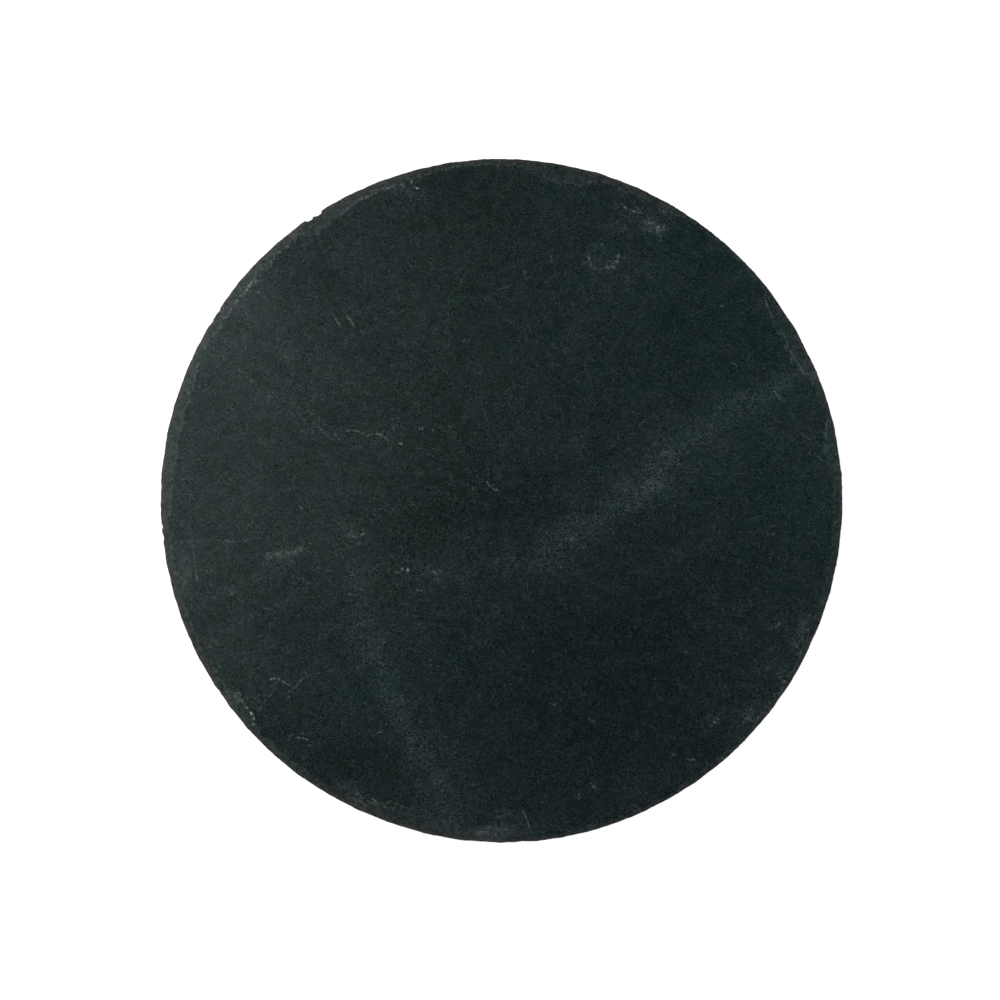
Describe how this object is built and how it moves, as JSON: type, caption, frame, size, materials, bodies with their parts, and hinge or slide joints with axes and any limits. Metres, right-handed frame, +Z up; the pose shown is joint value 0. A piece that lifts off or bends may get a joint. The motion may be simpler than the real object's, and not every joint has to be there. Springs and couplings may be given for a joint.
{
  "type": "serving board",
  "caption": "Round serving board of riven slate with a hand-chiselled edge, raised on small tapered rubber feet.",
  "frame": {"origin": "on the surface that the feet stand on, under the middle of the board", "axes": "+Z up out of the serving face; +Y is the top of the picture and +X its right"},
  "size_m": [0.3, 0.3, 0.0093],
  "materials": {
    "slate": "natural cleft slate, dark blue-green grey, dry and matt with faint dusty veils, paler on the broken edge",
    "foot_rubber": "soft black moulded rubber, matt",
    "adhesive_film": "milky translucent acrylic adhesive film"
  },
  "bodies": {
    "root": {"slate_board": "slate", "foot_1": "foot_rubber", "foot_2": "foot_rubber", "foot_3": "foot_rubber", "foot_4": "foot_rubber", "foot_adhesive_1": "adhesive_film", "foot_adhesive_2": "adhesive_film", "foot_adhesive_3": "adhesive_film", "foot_adhesive_4": "adhesive_film"}
  },
  "joints": []
}
